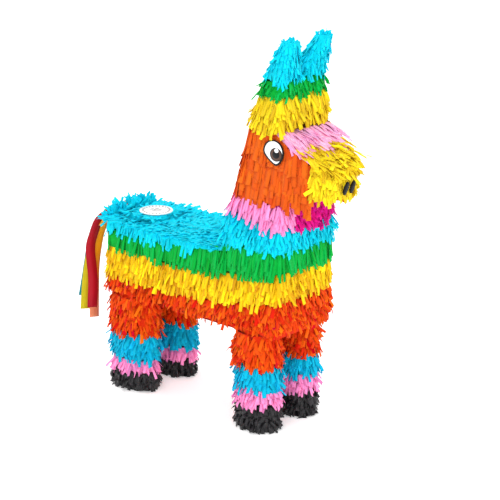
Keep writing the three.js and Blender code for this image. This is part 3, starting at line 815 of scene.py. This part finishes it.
FORELOCK = dict(length=25, width=4.0, lift=8, curl=-12, ragged=0.35, lean=9, twist=18, shade=0.12)
brow_rows = slope_rows(range(52, 73, SLOPE_PITCH), FORELOCK, spacing=3.2)
covering("brow_fringe_pink", brow_rows, PALE_PINK)

# ---------- crown ----------
# A yellow band that flares over the cheeks and a green one above it, up to the ears.

CROWN_SPLIT = corners("crown_fringe_green")[0][2]
FLARE = dict(length=22, width=5.0, lift=17, curl=-8, ragged=0.18, lean=7, twist=16, crumple=5)

crown_walls = lambda p, n: (p[:, 2] < CROWN_SPLIT + 4) & (p[:, 2] > CROWN_FOOT)
crown_rows = rows(WALLS, level(CROWN_FOOT - 2), crown_walls, FLARE, last=80)
covering("crown_fringe_yellow", crown_rows, LEMON)
top_walls = lambda p, n: p[:, 2] < CROWN
top_rows = rows(WALLS, level(CROWN_SPLIT - 2), top_walls, SHORT, last=32, pitch=5.5)
covering("crown_fringe_green", top_rows, GREEN)

# ---------- ears ----------
# Two rolled card points with turquoise rows up to their tips, and loose fingers round the tips.

EAR = dict(length=14, width=3.8, lift=15, curl=-10, ragged=0.22, lean=12, twist=24, crumple=8)
LOOSE_TIP = dict(length=11, width=3.4, lift=4, curl=8, lean=8, twist=40, crumple=12)
TIP_COUNT = 26
TIP_ROOT = EAR_TIP - 8.0
SIDES = (("right", -1), ("left", 1))

for side, sign in SIDES:
    on_ear = lambda p, n: (p[:, 2] > CROWN + 3) & (p[:, 0] * sign > 0)
    ear_rows = rows(WALLS, level(CROWN - 4), on_ear, EAR, last=64, pitch=5, spacing=3.0)
    low, high = corners("ear_fringe_" + side)
    x_range = (low[0] + 24, high[0] - 2) if sign > 0 else (low[0] + 2, high[0] - 24)
    tip_x = rng.uniform(*x_range, TIP_COUNT)
    tip_y = rng.uniform(low[1] + 3, low[1] + 15, TIP_COUNT)
    tip = np.stack([tip_x, tip_y, np.full(TIP_COUNT, TIP_ROOT)], axis=1)
    up_x, up_y = rng.normal(0, 0.25, TIP_COUNT), rng.normal(0, 0.25, TIP_COUNT)
    upwards = np.stack([up_x, up_y, np.ones(TIP_COUNT)], axis=1)
    out_x, out_y = rng.normal(0, 1, TIP_COUNT), rng.normal(0, 1, TIP_COUNT)
    out = unit(np.stack([out_x, out_y, np.zeros(TIP_COUNT)], axis=1))
    ear_rows.append(fingers(tip, out, upwards, **LOOSE_TIP))
    covering("ear_fringe_" + side, ear_rows, TURQUOISE)

# ---------- filling flap and sticker ----------
# A card flap, creased at the rump end, closes the hole that the sweets go in by. Its own short
# turquoise rows hide it. A round white paper seal with a ring of ticks and plain bars lies on top.

ON_FLAP = dict(
    length=12, width=4.2, lift=6, curl=-10, ragged=0.2, lean=36, twist=14, crumple=8, depth=1
)
seal_low, seal_high = corners("fill_sticker")
seal_centre = (seal_low + seal_high) / 2
seal_centre[2] = seal_low[2]
SEAL = seal_high[0] - seal_low[0]
clear_of_seal = lambda p: np.linalg.norm(p[:, :2] - seal_centre[:2], axis=1) >= SEAL / 2 - 3
flap_lines = [s * x for x in (1.5, 7, 12.5, 18, 23.5, 28) for s in (-1, 1)]
flap_rows = roof_rows(
    flap_high[2],
    flap_lines,
    flap_low[1] + 1,
    flap_high[1] - 6,
    clear_of_seal,
    ON_FLAP,
    spacing=3.0,
)
covering("flap_fringe_turquoise", flap_rows, TURQUOISE, body="flap", slimmer=1.0)

WHITE_PRINT, _ = new_material(
    "coated_white_paper", 0.42, Base_Color=linear("#f6f5f3"), Coat_Weight=0.15
)
GREY_PRINT, _ = new_material("grey_ink", 0.5, Base_Color=linear("#5c5c62"))


def plate(outline, centre, right, up, low, high, bevel=0.15):
    """A closed flat plate: the outline in the plane of right and up, from low to high over it."""
    out = np.cross(right, up)
    shrunk = outline * (1 - bevel / np.abs(outline).max())
    flat = centre + outline[:, :1] * right + outline[:, 1:] * up
    inner = centre + shrunk[:, :1] * right + shrunk[:, 1:] * up
    count = len(outline)
    rings = [
        inner + out * low,
        flat + out * (low + bevel),
        flat + out * (high - bevel),
        inner + out * high,
    ]
    i = np.arange(count)
    j = (i + 1) % count
    side = np.stack([i, j, count + j, count + i], axis=1)
    sides = np.concatenate([side + ring * count for ring in range(3)])
    centre_low, centre_high = centre + out * low, centre + out * high
    vertices = np.concatenate([*rings, centre_low[None], centre_high[None]])
    low_fan = np.stack([j, i, np.full(count, 4 * count)], axis=1)
    high_fan = np.stack([3 * count + i, 3 * count + j, np.full(count, 4 * count + 1)], axis=1)
    return vertices, sides, np.concatenate([low_fan, high_fan])


def layers(name, plates, replaced, body):
    """Plates with their materials, joined as one piece."""
    vertices, quads, fans, quad_paint, fan_paint, materials = [], [], [], [], [], []
    offset = 0
    for (v, q, f), material in plates:
        if material not in materials:
            materials.append(material)
        vertices.append(v)
        quads.append(q + offset)
        fans.append(f + offset)
        quad_paint.append(np.full(len(q), materials.index(material)))
        fan_paint.append(np.full(len(f), materials.index(material)))
        offset += len(v)
    made = mesh_piece(
        name,
        np.concatenate(vertices),
        [np.concatenate(quads), np.concatenate(fans)],
        materials,
        material_of_face=np.concatenate([*quad_paint, *fan_paint]),
    )
    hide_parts(replaced)
    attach(made, body)
    return made


def oval(width, height, steps=48):
    turn = np.linspace(0, 2 * np.pi, steps, endpoint=False)
    return np.stack([width / 2 * np.cos(turn), height / 2 * np.sin(turn)], axis=1)


X, Y, Z = np.eye(3)
SEAL_BOTTOM, SEAL_TOP = 0.2, 1.6
INK_BOTTOM, INK_TOP, INK_BEVEL = 1.5, 1.8, 0.05
TICK_COUNT, TICK_WIDTH, TICK_LENGTH = 24, 2.2, 3.4
TICK_RADIUS = 0.4  # as a share of the seal's diameter, like the length of the bars
BAR_LENGTH = 0.42
BAR_WIDTH = 1.6
BAR_PLACES = (-5, 0, 5)


def ink(outline, middle, right, up):
    return plate(outline, middle, right, up, INK_BOTTOM, INK_TOP, INK_BEVEL), GREY_PRINT


paper_disc = plate(oval(SEAL, SEAL, 64), seal_centre, X, Y, SEAL_BOTTOM, SEAL_TOP)
seal_plates = [(paper_disc, WHITE_PRINT)]
for turn in np.linspace(0, 2 * np.pi, TICK_COUNT, endpoint=False):
    outwards = np.array([math.cos(turn), math.sin(turn), 0.0])
    middle = seal_centre + outwards * SEAL * TICK_RADIUS
    seal_plates.append(ink(oval(TICK_WIDTH, TICK_LENGTH, 8), middle, np.cross(outwards, Z), outwards))
for place in BAR_PLACES:
    bar = oval(SEAL * BAR_LENGTH - abs(place), BAR_WIDTH, 20)
    seal_plates.append(ink(bar, seal_centre + [place, 0, 0], Y, -X))
layers("round_seal", seal_plates, "fill_sticker", "flap")

# ---------- eyes ----------
# Printed card, cut to a drop: a black edge, glossy white, a brown iris with a darker edge, a black
# pupil and a white highlight. Each printed colour is a thin layer over the one before.

BLACK_PRINT, _ = new_material(
    "black_ink", 0.5, Base_Color=linear("#0f0e10"), Specular_IOR_Level=0.2
)
EYE_WHITE, _ = new_material("white_gloss_card", 0.28, Base_Color=linear("#f7f8f8"), Coat_Weight=0.3)
IRIS, _ = new_material("brown_ink", 0.45, Base_Color=linear("#5a4034"), Specular_IOR_Level=0.2)
IRIS_EDGE, _ = new_material(
    "dark_brown_ink", 0.45, Base_Color=linear("#2c2220"), Specular_IOR_Level=0.2
)
INK_EDGE = 0.08


def drop(width, height, steps=56):
    """An oval whose lower half narrows and leans towards the nose."""
    turn = np.linspace(0, 2 * np.pi, steps, endpoint=False)
    x, y = np.cos(turn), np.sin(turn)
    low = np.clip(-y, 0, 1)
    across = x * (1 - 0.42 * low**1.5) + 0.30 * low**1.4
    return np.stack([width / 2 * across, height / 2 * y], axis=1)


for side, sign in SIDES:
    normals = node_surface("eye_" + side)[2]
    out = normals[np.argmax(normals[:, 0] * sign)]
    low, high = corners("eye_" + side)
    centre = (low + high) / 2
    forwards = np.array([0.0, -1.0, 0.0])
    up = unit(np.cross(out, forwards) * (-1 if np.cross(out, forwards)[2] < 0 else 1))
    right = np.cross(up, out)
    nose_side = 1 if right @ forwards > 0 else -1
    w, h = high[1] - low[1], high[2] - low[2]

    def printed(outline, start, stop, shift=(0, 0)):
        """A layer of the eye, start to stop over its middle. shift is towards the nose and up."""
        placed = (outline + np.array(shift)) * [nose_side, 1]
        if nose_side < 0:
            placed = placed[::-1]
        middle = placed.mean(axis=0)
        at = centre + middle[0] * right + middle[1] * up
        return plate(placed - middle, at, right, up, start, stop, INK_EDGE)

    eye_plates = [
        (printed(drop(w, h), 1.2, 3.0), BLACK_PRINT),
        (printed(drop(w * 0.86, h * 0.88), 2.8, 3.2, (0.4, 0.5)), EYE_WHITE),
        (printed(oval(w * 0.60, h * 0.54), 3.1, 3.4, (w * 0.15, -h * 0.06)), IRIS_EDGE),
        (printed(oval(w * 0.51, h * 0.46), 3.3, 3.55, (w * 0.15, -h * 0.06)), IRIS),
        (printed(oval(w * 0.34, h * 0.31), 3.5, 3.7, (w * 0.15, -h * 0.06)), BLACK_PRINT),
        (printed(oval(w * 0.20, h * 0.18), 3.65, 3.85, (w * 0.17, h * 0.11)), EYE_WHITE),
    ]
    layers("printed_eye_" + side, eye_plates, "eye_" + side, "shell")

# ---------- nostrils ----------
# Two slim ovals of black card, glued on a little askew, with their tops further out.

NOSTRIL_LEAN = math.radians(8)
NOSTRIL_TILT = math.radians(14)
NOSTRIL_WIDTH, NOSTRIL_LENGTH = 7.5, 19.5
NOSTRIL_BACK, NOSTRIL_FACE = 5.6, 8.2  # in front of the middle of the frame's node

for side, _ in SIDES:
    low, high = corners("nostril_" + side)
    centre = (low + high) / 2
    up = unit(np.array([math.sin(NOSTRIL_LEAN), -math.sin(NOSTRIL_TILT), 1.0]))
    right = unit(np.cross(up, [0.0, -1.0, 0.0]))
    outline = oval(NOSTRIL_WIDTH, NOSTRIL_LENGTH, 32)
    black = plate(outline, centre, right, up, NOSTRIL_BACK, NOSTRIL_FACE, bevel=0.4)
    layers("printed_nostril_" + side, [(black, BLACK_PRINT)], "nostril_" + side, "shell")

# ---------- tail ----------
# Five crepe streamers, 15 mm wide, glued in a fan at the top of the rump. Each arches out and
# hangs free, and twists as it falls.

# Each streamer's colour, and its path as places sideways of, behind and above its root.
STREAMERS = {
    "gold": (
        "#f2a618",
        [(6, 12, -3), (9, 25, -18), (8, 36, -38), (6, 41, -60), (4, 45, -85), (3, 47, -112)],
    ),
    "red": (
        "#ac0820",
        [(-9, 14, 2), (-16, 28, -12), (-22, 35, -35), (-26, 39, -60), (-27, 34, -105), (-28, 36, -150)],
    ),
    "yellow": (
        "#c9b90c",
        [(-10, 22, 4), (-22, 45, -29), (-28, 49, -55), (-33, 51, -80), (-37, 54, -112), (-41, 56, -158)],
    ),
    "peach": (
        "#ee8f66",
        [(-8, 24, 5), (-25, 50, -32), (-31, 55, -65), (-37, 55, -95), (-43, 51, -131), (-47, 48, -172)],
    ),
    "teal": (
        "#0c8690",
        [(-14, 24, 4), (-38, 47, -20), (-58, 55, -61), (-64, 57, -86), (-68, 58, -106), (-74, 60, -138)],
    ),
}
TAIL_WIDTH = 15
TAIL_PAPER = 0.3
TAIL_STATIONS = 48
FACING = math.radians(-28)  # a streamer turns this far from straight back as it leaves its root
SWAY = math.radians(7)  # and then to and fro by this much
SWAY_RATE = 9
TILT = 0.12
TILT_RATE = 7
ROOT_MARGIN = 0.6


def smooth_path(knots, count):
    """Evenly spaced points on a smooth curve through the knots: cubics that share their slopes."""
    knots = np.array(knots, float)
    slope = np.gradient(knots, axis=0)
    t = np.linspace(0, len(knots) - 1, 20 * count)
    i = np.minimum(t.astype(int), len(knots) - 2)
    u = (t - i)[:, None]
    curve = (
        (2 * u**3 - 3 * u**2 + 1) * knots[i]
        + (u**3 - 2 * u**2 + u) * slope[i]
        + (3 * u**2 - 2 * u**3) * knots[i + 1]
        + (u**3 - u**2) * slope[i + 1]
    )
    run = np.concatenate([[0], np.cumsum(np.linalg.norm(np.diff(curve, axis=0), axis=1))])
    wanted = np.linspace(0, run[-1], count)
    return np.stack([np.interp(wanted, run, curve[:, k]) for k in range(3)], axis=1), run[-1]


def streamer(points, across, width, thickness):
    """A thin closed band along points. across is the direction of its width at each point."""
    along = unit(np.gradient(points, axis=0))
    across = unit(across - np.einsum("ij,ij->i", across, along)[:, None] * along)
    face = np.cross(along, across)
    half, thick = across * width / 2, face * thickness / 2
    ring = [
        points - half - thick,
        points + half - thick,
        points + half + thick,
        points - half + thick,
    ]
    vertices = np.stack(ring, axis=1).reshape(-1, 3)
    quads = [np.array([[0, 1, 2, 3]]), len(vertices) - 4 + np.array([[3, 2, 1, 0]])]
    start = np.arange(len(points) - 1)[:, None] * 4
    for i in range(4):
        j = (i + 1) % 4
        quads.append(np.concatenate([start + i, start + 4 + i, start + 4 + j, start + j], axis=1))
    return vertices, np.concatenate(quads)


for name, (code, places) in STREAMERS.items():
    low, high = corners("tail_ribbon_" + name)
    root = np.array([(low[0] + high[0]) / 2, low[1] + ROOT_MARGIN, high[2] - ROOT_MARGIN])
    points, length = smooth_path(root + np.array([(0, 0, 0), *places], float), TAIL_STATIONS)
    share = np.linspace(0, 1, TAIL_STATIONS)
    sway = SWAY * np.sin(SWAY_RATE * share + length) * share
    turn = FACING * np.clip(share / 0.5, 0, 1) + sway
    tilt = TILT * np.sin(TILT_RATE * share + length) * share
    across = np.stack([np.cos(turn), np.sin(turn), tilt], axis=1)
    vertices, quads = streamer(points, across, TAIL_WIDTH, TAIL_PAPER)
    paper = crepe("streamer_" + name, code, 0.55, 0.2)
    ribbon = mesh_piece(
        "streamer_" + name + "_paper", vertices, [quads], [paper], np.zeros(len(vertices))
    )
    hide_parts("tail_ribbon_" + name)
    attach(ribbon, "ribbon_" + name)

# ---------- floor and light ----------
# A plain white floor and large soft lamps from above and both sides, so that the colours are clear.

floor_mesh = bpy.data.meshes.new("floor")
floor_mesh.from_pydata([(-9, -9, 0), (9, -9, 0), (9, 9, 0), (-9, 9, 0)], [], [(0, 1, 2, 3)])
WHITE_FLOOR, _ = new_material(
    "white_floor",
    0.95,
    Base_Color=linear("#ffffff"),
    Specular_IOR_Level=0.0,
    Emission_Color=linear("#ffffff"),
    Emission_Strength=0.3,
)
floor_mesh.materials.append(WHITE_FLOOR)
floor = bpy.data.objects.new("floor", floor_mesh)
scene.collection.objects.link(floor)

LAMP_AIM = (0, 0, 0.28)
LAMPS = {
    "lamp_key": ((-1.9, -1.3, 2.3), 1.4, 26),
    "lamp_fill": ((1.2, -2.6, 1.1), 1.6, 12),
    "lamp_top": ((0.3, 0.6, 2.6), 1.6, 14),
}
for name, (place, size, watts) in LAMPS.items():
    lamp = bpy.data.objects.new(name, bpy.data.lights.new(name, "AREA"))
    lamp.data.shape = "DISK"
    lamp.data.size = size
    lamp.data.energy = watts
    lamp.location = place
    lamp.rotation_mode = "QUATERNION"
    lamp.rotation_quaternion = (Vector(LAMP_AIM) - Vector(place)).to_track_quat("-Z", "Y")
    scene.collection.objects.link(lamp)

world = bpy.data.worlds.new("world")
scene.world = world
world.use_nodes = True
world.node_tree.nodes["Background"].inputs["Color"].default_value = (1, 1, 1, 1)
world.node_tree.nodes["Background"].inputs["Strength"].default_value = 1.0
